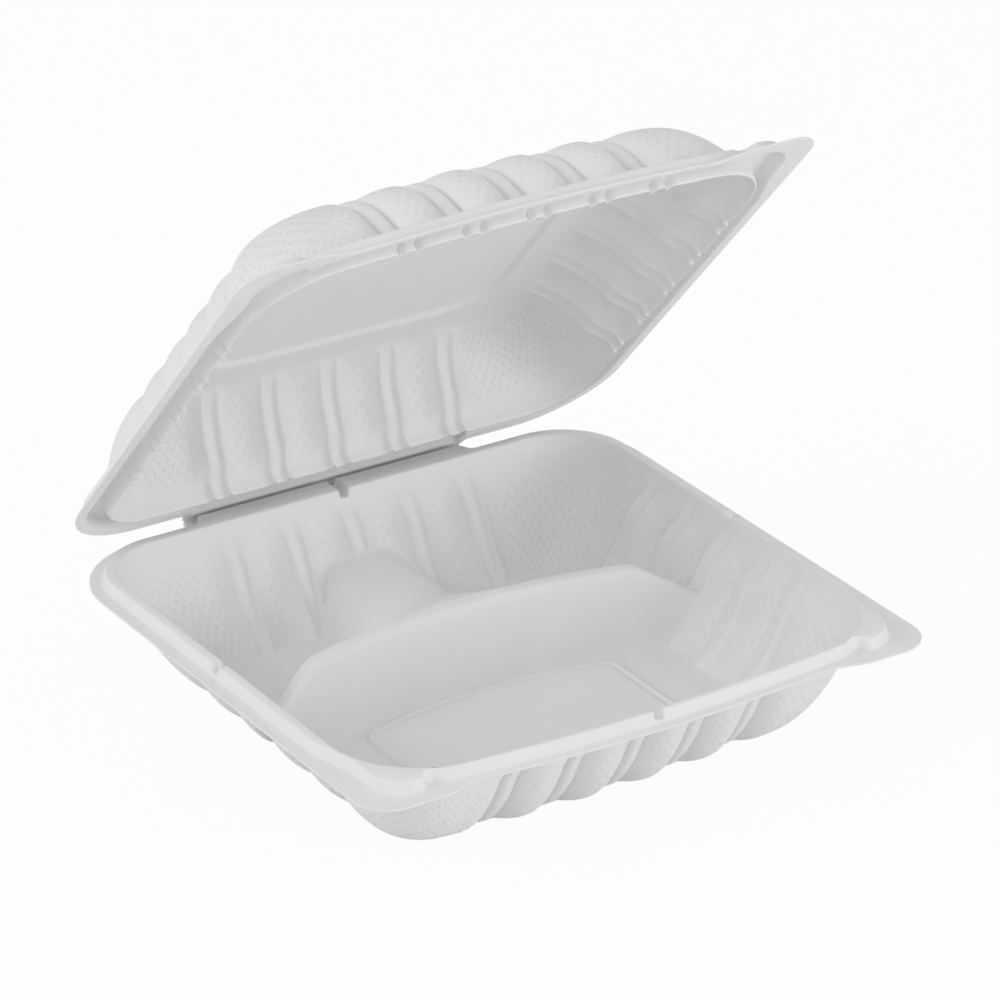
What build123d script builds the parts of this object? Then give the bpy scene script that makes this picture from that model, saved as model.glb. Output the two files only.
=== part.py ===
import os
from math import asin, atan2, cos, hypot, pi, sin, sqrt, tan
from build123d import *

# Sheet and overall form of the food container
sheet = 0.7
tray_depth = 40.5
lid_rise = 32.7
lid_panel_rise = 2.0
flange_width = 5.0
open_angle = 47.6

# Hinge strip along the rear edge
hinge_strip = 5.7
hinge_half_length = 60.5
hinge_strip_flare = 1.5
hinge_end_gap = 0.2
sheet_gap = 0.3

# Flange corners and the bowed front edge
flange_front_width = 4.6
front_bow_vertex = 8.3
front_corner_margin = 43.0
tab_reach = 7.1
tab_length = 29.0
tab_flare = 0.3
tab_radius = 14.0
tab_start_radius = 14.0
tab_root_radius = 10.0
rear_corner_radius = 35.0
strip_root_radius = 2.0
strip_end_radius = 1.0
front_bow_share = 0.9
tight_share = 0.25
flat_share = 1e-6

# Raised bead that snaps into the lid
bead_height = 4.5
bead_draft = 1.0
bead_side_ledge = 4.8
bead_rear_ledge = 5.4
bead_front_ledge = 4.2
bead_front_margin = 26.0
bead_bow_vertex = 9.63
bead_hinge_margin = 5.1
bead_hinge_end_margin = 2.5
bead_hinge_flare = 1.5
bead_rear_radius = 29.0
lug_gap_depth = 3.0
lug_gap_width = 5.5
lug_reach = 1.1
lug_step = 4.5
lug_radius = 13.5
lug_length = 24.3
lug_shoulder_run = 18.0
lug_shoulder_radius = 25.0
bead_clearance = 0.3
notch_width = 3.4
notch_floor = 1.2
notch_reach = 20.0

# Tray wall: a plain band under the ledge, then flutes down to the floor
tray_half_width = 107.2
tray_rear = 96.6
tray_front = 103.0
tray_bow_vertex = 9.0
tray_band_drop = 1.0
tray_band_lean = 1.4
tray_lean = 28.0
tray_front_radius = 36.0
tray_rear_radius = 26.0
tray_floor_radius = 12.0
tray_height_shares = (0.40, 0.15)
tray_lean_shares = (0.055, 0.43, 0.71, 1.0)
tray_flute_shares = (0.35, 1.0, 1.0, 0.6)

# Lid wall: a plain lip inside the bead, then flutes up to the crown
lip_clearance = 0.4
lid_band_rise = 2.5
lid_band_lean = 0.9
lid_lean = 27.0
lid_crown_radius = 15.6
lid_height_share = 0.80
lid_lean_shares = (0.045, 0.426, 1.0)
lid_flute_shares = (0.35, 1.0, 0.7)
lid_panel_side_margin = 14.7
lid_panel_rear_margin = 15.1
lid_panel_radius = 22.0

# Flutes: pairs of grooves with a rib between, and a lobe from pair to pair
flute_pairs = 5
flute_end_front = 5.1
flute_end_side = 0.5
groove_offset = 3.8
groove_half = 2.0
groove_depth = 1.6
lobe_bulge = 3.0
lobe_margin = 0.2
lobe_place_shares = (0.0, 0.25, 0.75, 1.0)
lobe_rise_shares = (0.0, 0.9, 0.9, 0.0)
end_place_shares = (0.0, 0.5, 1.0)
end_rise_shares = (0.0, 0.92, 1.0)
corner_spans = 4

# Dividers and floor panel
divider_drop = 8.0
divider_crest_y = 15.2
divider_bow_radius = 248.0
divider_spans = 12
divider_crest_half = 3.2
divider_foot_half = 9.0
divider_end_margin = 38.4
divider_end_drop = 13.0
divider_end_run = 22.0
rear_divider_drop = 17.0
rear_divider_crest_half = 6.0
rear_divider_foot_half = 25.0
rear_divider_flare = 14.0
rear_divider_step = 1.0
rear_divider_waist = 29.0
floor_panel_rise = 1.9
floor_panel_side_margin = 25.2
floor_panel_front_margin = 15.0
floor_panel_rear_margin = 4.3
floor_panel_radius = 7.0
floor_panel_bow = 7.0
overrun = 10.0

# Sizes that follow from the others
bead_half_width = tray_half_width + bead_side_ledge
bead_rear = tray_rear + bead_rear_ledge
bead_front_corner = tray_front + bead_front_ledge
bead_front_x = bead_half_width - bead_front_margin
lug_gap_front = bead_front_corner - lug_gap_depth
lug_x = bead_front_x + lug_gap_width
lug_front = bead_front_corner + lug_reach
lug_side = bead_half_width - lug_step
lug_shoulder_front = lug_front - lug_length
lug_shoulder_rear = lug_shoulder_front - lug_shoulder_run
flange_half_width = bead_half_width + flange_width
flange_rear = bead_rear + flange_width
flange_front_corner = bead_front_corner + flange_front_width
front_corner_x = flange_half_width - front_corner_margin
tab_front = lug_front + tab_reach
tab_start_x = flange_half_width - tab_length
tab_side = flange_half_width + tab_flare
hinge_y = flange_rear + hinge_strip
bead_hinge_y = hinge_y - bead_hinge_margin
bead_hinge_half = hinge_half_length - bead_hinge_end_margin
flange_top = tray_depth
lid_base = tray_depth + sheet_gap
hinge_z = tray_depth + sheet_gap / 2
lip_inset = tray_band_lean + sheet + lip_clearance
lid_half_width = tray_half_width - lip_inset
lid_rear = tray_rear - lip_inset
lid_front = tray_front - lip_inset
lid_panel_half_width = lid_half_width - lid_lean - lid_panel_side_margin
lid_panel_half_depth = lid_rear - lid_lean - lid_panel_rear_margin
pair_half = groove_offset + groove_half
flute_reach_front = lid_half_width - lid_lean - lid_crown_radius - flute_end_front - pair_half
flute_reach_side = (lid_rear + lid_front) / 2 - lid_lean - lid_crown_radius - flute_end_side - pair_half
flute_pitch_front = 2 * flute_reach_front / (flute_pairs - 1)
flute_pitch_side = 2 * flute_reach_side / (flute_pairs - 1)
divider_flat_half = tray_half_width - divider_end_margin
floor_panel_half_width = tray_half_width - tray_lean - floor_panel_side_margin
floor_panel_front = tray_front - tray_lean - floor_panel_front_margin
floor_panel_rear = divider_crest_y - divider_foot_half - floor_panel_rear_margin


def mirrored(half):
    """Close a right-hand run of corners, front centre first, with its mirror image."""
    return half + [(-x, y, r) for x, y, r in reversed(half) if x > 0]


def inset(corners, d):
    """Move every straight side of an anticlockwise outline inwards by d."""
    n = len(corners)
    lines = []
    for i in range(n):
        ax, ay, _ = corners[i]
        bx, by, _ = corners[(i + 1) % n]
        length = hypot(bx - ax, by - ay)
        ux, uy = (bx - ax) / length, (by - ay) / length
        lines.append((ax - uy * d, ay + ux * d, ux, uy))
    moved = []
    for i in range(n):
        px, py, ux, uy = lines[i - 1]
        qx, qy, vx, vy = lines[i]
        turn = ux * vy - uy * vx
        k = ((qx - px) * vy - (qy - py) * vx) / turn
        r = corners[i][2]
        eased = max(r - d, r * tight_share) if turn > 0 else r + d
        moved.append((px + ux * k, py + uy * k, eased if r > 0 else 0.0))
    return moved


def outline(corners, z):
    """Closed outline at height z, its corners rounded by their own radii."""
    n = len(corners)
    runs = []
    for i in range(n):
        x, y, r = corners[i]
        ax, ay, _ = corners[i - 1]
        bx, by, _ = corners[(i + 1) % n]
        la, lb = hypot(ax - x, ay - y), hypot(bx - x, by - y)
        ux, uy, vx, vy = (ax - x) / la, (ay - y) / la, (bx - x) / lb, (by - y) / lb
        half_turn = atan2(hypot(ux + vx, uy + vy), hypot(ux - vx, uy - vy))
        reach = r * tan(half_turn)
        mx, my = ux + vx, uy + vy
        ml = hypot(mx, my)
        bulge = r / cos(half_turn) - r
        runs.append((
            (x + ux * reach, y + uy * reach, z),
            (x + mx / ml * bulge, y + my / ml * bulge, z),
            (x + vx * reach, y + vy * reach, z),
        ))
    edges = []
    for i in range(n):
        start, middle, end = runs[i]
        if corners[i][2] > 0:
            edges.append(Edge.make_three_point_arc(start, middle, end))
        edges.append(Edge.make_line(end, runs[(i + 1) % n][0]))
    return Wire(edges)


def slab(corners, low, high):
    """Straight-sided block of an outline between two heights."""
    return Solid.extrude(Face(outline(corners, low)), Vector(0, 0, high - low))


def drafted(foot, top, low, high):
    """Block whose sides lean in from the foot outline to the top outline."""
    return Solid.make_loft([outline(foot, low), outline(top, high)], True)


def wall_outline(half_x, rear, front, vertex, near, far):
    """Plain outline of a wall with its bowed front, as corners."""
    bow_radius = front_bow_share * half_x * (half_x - near) / vertex
    return mirrored([
        (0.0, -front - vertex, bow_radius), (half_x, -front, near), (half_x, rear, far),
    ])


def flute_run(low, high, pitch):
    """Places along one side and how far each lies inside the crest line."""
    valley = lobe_margin + lobe_bulge
    run = []
    start = -low
    for i in range(flute_pairs + 1):
        centre = (i - (flute_pairs - 1) / 2) * pitch
        end = high if i == flute_pairs else centre - pair_half
        lobe = list(zip(lobe_place_shares, lobe_rise_shares))
        if i == 0:
            lobe = [(1 - place, rise) for place, rise in zip(end_place_shares, end_rise_shares)][::-1]
        if i == flute_pairs:
            lobe = list(zip(end_place_shares, end_rise_shares))
        for place, rise in lobe:
            run.append((start + place * (end - start), valley - rise * lobe_bulge))
        if i < flute_pairs:
            run.append((centre - groove_offset, valley + groove_depth))
            run.append((centre, valley))
            run.append((centre + groove_offset, valley + groove_depth))
            start = centre + pair_half
    return run


def ring(half_x, rear, front, vertex, near, far, share, z):
    """Corners of the fluted outline at one height, anticlockwise; share is how full its flutes are."""
    half_y = (rear + front) / 2
    middle = (rear - front) / 2
    bow = vertex * front_bow_share / 2
    bow_half = flute_pairs * flute_pitch_front / 2
    points = []
    for k in range(4):
        low, high, reach, pitch = (
            (half_x - near, half_x - near, front, flute_pitch_front),
            (half_y - near, half_y - far, half_x, flute_pitch_side),
            (half_x - far, half_x - far, rear, flute_pitch_front),
            (half_y - far, half_y - near, half_x, flute_pitch_side),
        )[k]
        for s, depth in flute_run(low, high, pitch):
            out = reach - share * depth + (bow * (1 - (s / bow_half) ** 2) if k == 0 else 0.0)
            points.append(((s, -out), (out, s + middle), (-s, out), (-out, middle - s))[k])
        radius = near if k in (0, 3) else far
        cx = half_x - radius if k in (0, 1) else radius - half_x
        cy = middle - half_y + radius if k in (0, 3) else middle + half_y - radius
        for i in range(1, corner_spans):
            angle = (k - 1 + i / corner_spans) * pi / 2
            r = radius - share * lobe_margin
            points.append((cx + r * cos(angle), cy + r * sin(angle)))
    return [Vector(x, y, z) for x, y in points]


def patch(a, b, c, d):
    """Flat facet of four corners, or two facets where they don't lie flat."""
    normal = (b - a).cross(c - a)
    if abs(normal.dot(d - a)) <= flat_share * normal.length * (c - a).length:
        return [Face(Wire.make_polygon([a, b, c, d], close=True))]
    return [Face(Wire.make_polygon([a, b, c], close=True)), Face(Wire.make_polygon([a, c, d], close=True))]


def stacked(rings):
    """Closed solid of flat facets from ring to ring, with flat ends."""
    faces = [Face(Wire.make_polygon(rings[0], close=True)), Face(Wire.make_polygon(rings[-1], close=True))]
    for low, high in zip(rings, rings[1:]):
        for i in range(len(low)):
            faces += patch(low[i - 1], low[i], high[i], high[i - 1])
    return Solid(Shell(faces))


def fluted(size, lean, lean_shares, end_radius, flute_shares, heights, grow):
    """Solid bounded by a stack of fluted outlines, its corners closing to the end radius."""
    half_x, rear, front, vertex, near, far = size
    rings = []
    for share, flute_share, z in zip(lean_shares, flute_shares, heights):
        inward = lean * share - grow
        rings.append(ring(
            half_x - inward, rear - inward, front - inward, vertex, near + (end_radius - near) * share + grow,
            far + (end_radius - far) * share + grow, flute_share, z,
        ))
    return stacked(rings)


def divider(skin):
    """Cross-shaped fold of the floor; skin is how far this face lies below the upper one."""
    floor = sheet - skin
    top = tray_depth - divider_drop - skin
    slant = (divider_foot_half - divider_crest_half) / (top - floor)
    side_skin = skin * sqrt(1 + slant ** 2) - skin * slant
    crest = divider_crest_half - side_skin
    foot = crest + slant * (top - floor + overrun)
    low = floor - overrun
    centre = divider_crest_y - divider_bow_radius
    profile = [
        (divider_bow_radius - foot, low), (divider_bow_radius + foot, low),
        (divider_bow_radius + crest, top), (divider_bow_radius - crest, top),
    ]
    swing = asin((tray_half_width + overrun) / (divider_bow_radius - foot))
    stations = []
    for i in range(divider_spans + 1):
        turn = swing * (2 * i / divider_spans - 1)
        stations.append([Vector(r * sin(turn), centre + r * cos(turn), z) for r, z in profile])
    cross = stacked(stations)
    reach = divider_flat_half + divider_end_run + tray_half_width
    fall = divider_end_drop / divider_end_run
    end_skin = skin * sqrt(1 + fall ** 2) - skin * fall
    for sign in (-1, 1):
        flat = divider_flat_half - end_skin
        far = top - fall * (reach - flat)
        wedge = Wire.make_polygon([
            (sign * flat, -tray_front, top), (sign * reach, -tray_front, far),
            (sign * reach, -tray_front, top + overrun), (sign * flat, -tray_front, top + overrun),
        ], close=True)
        cross = cross - Solid.extrude(Face(wedge), Vector(0, tray_front + tray_rear, 0))
    rear_top = tray_depth - rear_divider_drop - skin
    rear_slant = (rear_divider_foot_half - rear_divider_crest_half) / (rear_top - floor)
    rear_skin = skin * sqrt(1 + rear_slant ** 2) - skin * rear_slant
    stations = []
    for y, extra, high in (
        (divider_crest_y, rear_divider_flare, top - rear_divider_step),
        (divider_crest_y + rear_divider_waist, 0.0, rear_top), (tray_rear + overrun, 0.0, rear_top),
    ):
        c = rear_divider_crest_half + extra - rear_skin
        f = c + rear_slant * (high - low)
        stations.append([Vector(x, y, z) for x, z in ((-f, low), (f, low), (c, high), (-c, high))])
    return cross + stacked(stations)


def floor_panel(skin):
    """Raised field of the front floor."""
    bow_radius = front_bow_share * floor_panel_half_width ** 2 / (2 * floor_panel_bow)
    panel = [
        (floor_panel_half_width, -floor_panel_front, floor_panel_radius),
        (floor_panel_half_width, floor_panel_rear - floor_panel_bow, floor_panel_radius),
        (0.0, floor_panel_rear + floor_panel_bow, bow_radius),
        (-floor_panel_half_width, floor_panel_rear - floor_panel_bow, floor_panel_radius),
        (-floor_panel_half_width, -floor_panel_front, floor_panel_radius),
    ]
    high = sheet + floor_panel_rise - skin
    return drafted(inset(panel, skin - sheet), inset(panel, skin + floor_panel_rise / 2), -overrun, high)


front_bow_radius = front_bow_share * front_corner_x * front_corner_x / front_bow_vertex
flange_corners = mirrored([
    (0.0, -flange_front_corner - front_bow_vertex, front_bow_radius),
    (front_corner_x, -flange_front_corner, tab_root_radius),
    (tab_start_x, -tab_front, tab_start_radius),
    (tab_side, -tab_front, tab_radius),
    (flange_half_width, flange_rear, rear_corner_radius),
    (hinge_half_length + hinge_strip_flare, flange_rear, strip_root_radius),
    (hinge_half_length, hinge_y - hinge_end_gap, strip_end_radius),
])
bead_bow_radius = front_bow_share * bead_front_x * bead_front_x / bead_bow_vertex
bead_corners = mirrored([
    (0.0, -bead_front_corner - bead_bow_vertex, bead_bow_radius),
    (bead_front_x, -bead_front_corner, 0.0),
    (bead_front_x, -lug_gap_front, 0.0),
    (lug_x, -lug_gap_front, 0.0),
    (lug_x, -lug_front, 0.0),
    (lug_side, -lug_front, lug_radius),
    (lug_side, -lug_shoulder_front, lug_shoulder_radius),
    (bead_half_width, -lug_shoulder_rear, lug_shoulder_radius),
    (bead_half_width, bead_rear, bead_rear_radius),
    (bead_hinge_half + bead_hinge_flare, bead_rear, 0.0),
    (bead_hinge_half, bead_hinge_y, 0.0),
])


def notches(half_width, low):
    """Vent slots across the bead at the middle of each side."""
    high = flange_top + bead_height + overrun
    mid = (low + high) / 2
    slots = []
    for x, y, across in (
        (bead_half_width, 0, True), (-bead_half_width, 0, True),
        (0, bead_hinge_y, False), (0, -bead_front_corner - bead_bow_vertex / 2, False),
    ):
        long, wide = notch_reach, 2 * half_width
        size = (long, wide) if across else (wide, long)
        slots.append(Pos(x, y, mid) * Box(size[0], size[1], high - low))
    return slots


# Base tray
tray_top = flange_top + bead_height
tray_size = (tray_half_width, tray_rear, tray_front, tray_bow_vertex, tray_front_radius, tray_rear_radius)


def tray_form(grow, floor):
    """Tray block: plain band above, flutes below; grow takes it from the inner to the outer face."""
    step = flange_top - tray_band_drop + sheet - grow
    band = inset(wall_outline(*tray_size), -grow)
    upper = drafted(inset(band, tray_band_lean), band, step, tray_top)
    heights = (step, tray_depth * tray_height_shares[0], tray_depth * tray_height_shares[1], floor)
    return upper + fluted(
        tray_size, tray_lean, tray_lean_shares, tray_floor_radius, tray_flute_shares, heights, grow,
    )


bead = drafted(bead_corners, inset(bead_corners, bead_draft), flange_top - sheet, tray_top)
for slot in notches(notch_width / 2, flange_top + notch_floor):
    bead = bead - slot
hollow = drafted(
    inset(bead_corners, sheet), inset(bead_corners, bead_draft + sheet),
    flange_top - 2 * sheet, tray_top - sheet,
)
for slot in notches(notch_width / 2 + sheet, flange_top + notch_floor - sheet):
    hollow = hollow - slot
base_tray = slab(flange_corners, flange_top - sheet, flange_top) + bead - hollow
tray_outer = tray_form(sheet, 0.0) - divider(sheet) - floor_panel(sheet)
tray_inner = tray_form(0.0, sheet) - divider(0.0) - floor_panel(0.0)
base_tray = base_tray + tray_outer - tray_inner
base_tray.label = "base_tray"

# Lid, made in its closed place and then swung open on the hinge
lid_crown = lid_base + lid_rise
lid_size = (
    lid_half_width, lid_rear, lid_front, tray_bow_vertex,
    tray_front_radius - lip_inset, tray_rear_radius - lip_inset,
)


def lid_form(grow, crown, lip):
    """Lid block: plain lip below, flutes above."""
    step = lid_base + lid_band_rise - sheet + grow
    band = inset(wall_outline(*lid_size), -grow)
    lower = drafted(band, inset(band, lid_band_lean), lip, step)
    heights = (step, lid_base + lid_rise * lid_height_share, crown)
    return lower + fluted(
        lid_size, lid_lean, lid_lean_shares, lid_crown_radius, lid_flute_shares, heights, grow,
    )


def lid_panel(skin):
    panel = [
        (lid_panel_half_width, -lid_panel_half_depth, lid_panel_radius),
        (lid_panel_half_width, lid_panel_half_depth, lid_panel_radius),
        (-lid_panel_half_width, lid_panel_half_depth, lid_panel_radius),
        (-lid_panel_half_width, -lid_panel_half_depth, lid_panel_radius),
    ]
    high = lid_crown + lid_panel_rise - skin
    foot = inset(panel, skin - lid_panel_rise)
    return drafted(foot, inset(panel, skin), lid_crown - 2 * skin - sheet, high)


cap_grow = bead_clearance + sheet
cap_top = tray_top + sheet_gap + bead_clearance
cap = drafted(
    inset(bead_corners, -cap_grow), inset(bead_corners, bead_draft - cap_grow), lid_base, cap_top + sheet,
)
channel = drafted(
    inset(bead_corners, -bead_clearance), inset(bead_corners, bead_draft - bead_clearance),
    lid_base - sheet, cap_top,
)
lid = slab(flange_corners, lid_base, lid_base + sheet) + cap - channel
lid_outer = lid_form(sheet, lid_crown, lid_base) + lid_panel(0.0)
lid_inner = lid_form(0.0, lid_crown - sheet, lid_base) + lid_panel(sheet)
lid = lid + lid_outer - lid_inner
lid = lid.rotate(Axis((0, hinge_y, hinge_z), (1, 0, 0)), -open_angle)
lid.label = "lid"

os.makedirs("parts", exist_ok=True)
export_step(base_tray, "parts/base_tray.step")
export_step(lid, "parts/lid.step")
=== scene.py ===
from collections import namedtuple
from math import atan2, ceil, cos, hypot, pi, radians, sin, tan

import bpy
import numpy as np
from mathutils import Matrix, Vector
from mathutils.geometry import delaunay_2d_cdt


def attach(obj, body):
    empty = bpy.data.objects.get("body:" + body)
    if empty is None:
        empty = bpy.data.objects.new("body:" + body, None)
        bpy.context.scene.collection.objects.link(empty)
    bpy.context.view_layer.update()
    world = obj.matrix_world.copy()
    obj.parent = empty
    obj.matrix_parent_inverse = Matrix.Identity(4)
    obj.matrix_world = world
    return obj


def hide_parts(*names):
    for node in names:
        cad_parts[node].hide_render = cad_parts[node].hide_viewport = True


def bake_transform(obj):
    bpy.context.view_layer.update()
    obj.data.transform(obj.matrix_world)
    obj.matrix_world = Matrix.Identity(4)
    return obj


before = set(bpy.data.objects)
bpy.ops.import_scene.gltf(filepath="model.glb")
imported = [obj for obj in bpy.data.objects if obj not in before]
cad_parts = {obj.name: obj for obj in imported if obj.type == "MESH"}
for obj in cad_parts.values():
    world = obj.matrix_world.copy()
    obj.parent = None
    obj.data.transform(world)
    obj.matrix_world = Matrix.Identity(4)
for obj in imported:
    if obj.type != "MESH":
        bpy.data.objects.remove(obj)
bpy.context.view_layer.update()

# Base tray
# The lower half of the box: one thin sheet of mineral-filled polypropylene, drawn by vacuum into a
# mould. A flat flange carries a raised bead, and fluted walls slope down to a floor with three basins.
MM = 0.001
SHEET = 0.7
TRAY_DEPTH = 40.5
BEAD_RISE = 4.5
BEAD_TOP = TRAY_DEPTH + BEAD_RISE

# Outlines of the flange, the bead and the walls, as corners with their radii
FRONT_BOW = 9.0
BOW_SHARE = 0.9
flange_corners = [
    (0.0, -120.1, 594.0), (74.0, -111.8, 10.0), (88.0, -115.4, 14.0), (117.3, -115.4, 14.0),
    (117.0, 107.0, 35.0), (62.0, 107.0, 2.0), (60.5, 112.5, 1.0),
]
bead_corners = [
    (0.0, -116.83, 691.0), (83.8, -107.44, 2.4), (87.2, -104.8, 1.3), (90.2, -104.8, 1.3),
    (92.8, -108.3, 2.2), (107.5, -108.3, 13.5), (107.5, -84.0, 25.0), (112.0, -66.0, 25.0),
    (112.0, 102.0, 29.0), (60.3, 102.0, 1.6), (57.6, 107.6, 1.8),
]
Wall = namedtuple("Wall", "half_x rear front near far lean foot")
TRAY = Wall(half_x=107.2, rear=96.6, front=103.0, near=36.0, far=26.0, lean=28.0, foot=12.0)


def mirrored(half):
    """Close a right-hand run of corners with its mirror image."""
    return half + [(-x, y, r) for x, y, r in reversed(half) if x > 0]


def wall_corners(wall, d):
    """Corners of a wall's plain outline with its bowed front, d inside the lip."""
    share = max(d, 0) / wall.lean
    near = wall.near + (wall.foot - wall.near) * share
    far = wall.far + (wall.foot - wall.far) * share
    half_x = wall.half_x - d
    front = d - wall.front
    bow = BOW_SHARE * half_x * (half_x - near) / FRONT_BOW
    return mirrored([(0.0, front - FRONT_BOW, bow), (half_x, front, near), (half_x, wall.rear - d, far)])


OUTLINE_STEPS = 9000
ARC_STEPS = 60
ARC_STEPS_LEAST = 2
SHORT_RUN = 2.5
BEND_WEIGHT = 5.0
BEND_MOST = 1.2


def traced(corners):
    """The rounded outline as evenly spaced points, with a weight that is larger where it bends."""
    n = len(corners)
    points = []
    bends = []
    for i in range(n):
        x, y, r = corners[i]
        p = np.array((x, y))
        a = np.array(corners[i - 1][:2]) - p
        b = np.array(corners[(i + 1) % n][:2]) - p
        a, b = a / np.linalg.norm(a), b / np.linalg.norm(b)
        half = atan2(np.linalg.norm(a + b), np.linalg.norm(a - b))
        centre = p + (a + b) / np.linalg.norm(a + b) * r / cos(half)
        start = p + a * r * tan(half) - centre
        end = p + b * r * tan(half) - centre
        sweep = atan2(start[0] * end[1] - start[1] * end[0], start @ end)
        first = atan2(start[1], start[0])
        steps = ARC_STEPS_LEAST + ceil(half * ARC_STEPS)
        for k in range(steps + 1):
            angle = first + sweep * k / steps
            points.append(centre + r * np.array((cos(angle), sin(angle))))
            bends.append(1.0 / r)
    points, bends = np.array(points), np.array(bends)
    ends = np.vstack([points, points[:1]])
    run = np.concatenate([[0], np.cumsum(np.linalg.norm(np.diff(ends, axis=0), axis=1))])
    at = np.linspace(0, run[-1], OUTLINE_STEPS, endpoint=False)
    where = np.clip(np.searchsorted(run, at, side="right") - 1, 0, len(points) - 1)
    short = run[where + 1] - run[where] < SHORT_RUN
    both = np.minimum(bends[where], np.append(bends, bends[0])[where + 1])
    weight = 1 + BEND_WEIGHT * np.clip(np.where(short, both, 0), 0, BEND_MOST) ** 0.5
    even = np.column_stack([np.interp(at, run, ends[:, 0]), np.interp(at, run, ends[:, 1])])
    return even, weight


# Each side has five pairs of narrow grooves, with lobes between them that bulge outwards
SIDE_MIDDLE = -3.2
FLUTE_PAIRS = 5
PITCH_X = 25.6
PITCH_Y = 24.2
GROOVE_OFFSET = 3.4
GROOVE_HALF = 2.0
GROOVE_DEPTH = 2.6
GROOVE_POWER = 0.9
GROOVE_TRACE = 0.02
PAIR_HALF = GROOVE_OFFSET + GROOVE_HALF
PAIR_GRID = (0, 0.8, 1.5, 2.15, 2.8, GROOVE_OFFSET, 4.0, 4.65, PAIR_HALF)
LOBE_BULGE = 4.0
LOBE_POWER = 2.3
LOBE_LEAST = 0.1
LOBE_STEPS = 6
REACH_X = (FLUTE_PAIRS - 1) / 2 * PITCH_X + PAIR_HALF
REACH_Y = (FLUTE_PAIRS - 1) / 2 * PITCH_Y + PAIR_HALF
REACH_SLACK = 1.0
SIDE_LEAST = 60.0
CORNER_STEPS = 76
CORNER_PIVOTS = ((80.0, -40.0), (50.0, 45.0), (-50.0, 45.0), (-80.0, -40.0))
CORNER_EASE = 0.25
EVEN_SHARE = 0.01


def side_grid(pitch):
    """Places along one side, close together at each pair of grooves and wider apart on the lobes."""
    near = np.array(PAIR_GRID)
    pair = np.concatenate([-near[:0:-1], near])
    places = []
    for i in range(FLUTE_PAIRS):
        centre = (i - (FLUTE_PAIRS - 1) / 2) * pitch
        places.append(centre + pair)
        if i < FLUTE_PAIRS - 1:
            gap = np.linspace(centre + PAIR_HALF, centre + pitch - PAIR_HALF, LOBE_STEPS + 2)
            places.append(gap[1:-1])
    return np.concatenate(places)


grid_x, grid_y = side_grid(PITCH_X), side_grid(PITCH_Y)
SIDE_STEPS = len(grid_x)
SIDE_BLOCK = SIDE_STEPS + CORNER_STEPS
LOOP = 4 * SIDE_BLOCK


def parted(corners):
    """An outline's four sides as points on their grids, and the stretches between them at the corners."""
    even, weight = traced(corners)
    x, y = even[:, 0], even[:, 1]
    s = y - SIDE_MIDDLE
    halves = (s < 0, x > 0, s > 0, x < 0)
    sides = []
    marks = []
    for k in range(4):
        crosswise = k % 2 == 0
        along, across = (x, y) if crosswise else (s, x)
        grid, reach = (grid_x, REACH_X) if crosswise else (grid_y, REACH_Y)
        far = np.abs(s if crosswise else x) > SIDE_LEAST
        on = (np.abs(along) < reach + REACH_SLACK) & halves[k] & far
        order = np.argsort(along[on])
        away = np.interp(grid, along[on][order], across[on][order])
        points = np.column_stack([grid, away] if crosswise else [away, grid + SIDE_MIDDLE])
        sides.append(points if k < 2 else points[::-1])
        marks.append([np.argmin(np.hypot(x - p[0], y - p[1])) for p in (sides[-1][0], sides[-1][-1])])
    stretches = []
    for k in range(4):
        start, end = marks[k][1], marks[(k + 1) % 4][0]
        span = np.arange(start, end if end > start else end + OUTLINE_STEPS) % OUTLINE_STEPS
        run = np.cumsum(weight[span])
        stretches.append((even[span], (run - run[0]) / (run[-1] - run[0])))
    return sides, stretches


def turned_from(points, pivot):
    """Angles of points as seen from a pivot."""
    return np.arctan2(points[:, 1] - pivot[1], points[:, 0] - pivot[0])


def shares_beside(corners, guide):
    """Where along each corner an outline lies in line with a guide's points, as seen from the pivots."""
    shares = []
    for k, (points, _) in enumerate(parted(corners)[1]):
        near = np.arange(k * SIDE_BLOCK + SIDE_STEPS - 1, (k + 1) * SIDE_BLOCK + 1) % LOOP
        given = np.maximum.accumulate(turned_from(guide[near], CORNER_PIVOTS[k]))
        own = turned_from(points, CORNER_PIVOTS[k])
        t = np.linspace(0, 1, len(given))
        first, last = own[0] - given[0], own[-1] - given[-1]
        given += first * np.maximum(1 - t / CORNER_EASE, 0) + last * np.maximum(1 - (1 - t) / CORNER_EASE, 0)
        places = np.interp(given, own, np.linspace(0, 1, len(points)))[1:-1]
        shares.append((1 - EVEN_SHARE) * places + EVEN_SHARE * t[1:-1])
    return shares


def loop(corners, shares=None):
    """An outline as points in the order front, right, rear, left, the same number for every outline."""
    rows = []
    sides, stretches = parted(corners)
    for k in range(4):
        points, run = stretches[k]
        at = np.linspace(0, 1, CORNER_STEPS + 2)[1:-1]
        if shares is not None:
            at, run = shares[k], np.linspace(0, 1, len(points))
        rows.append(sides[k])
        rows.append(np.column_stack([np.interp(at, run, points[:, 0]), np.interp(at, run, points[:, 1])]))
    return np.vstack(rows)


def smooth(low, high, value):
    """0 below low, 1 above high and an even change between them."""
    t = np.clip((value - low) / (high - low), 0, 1)
    return t * t * (3 - 2 * t)


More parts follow.
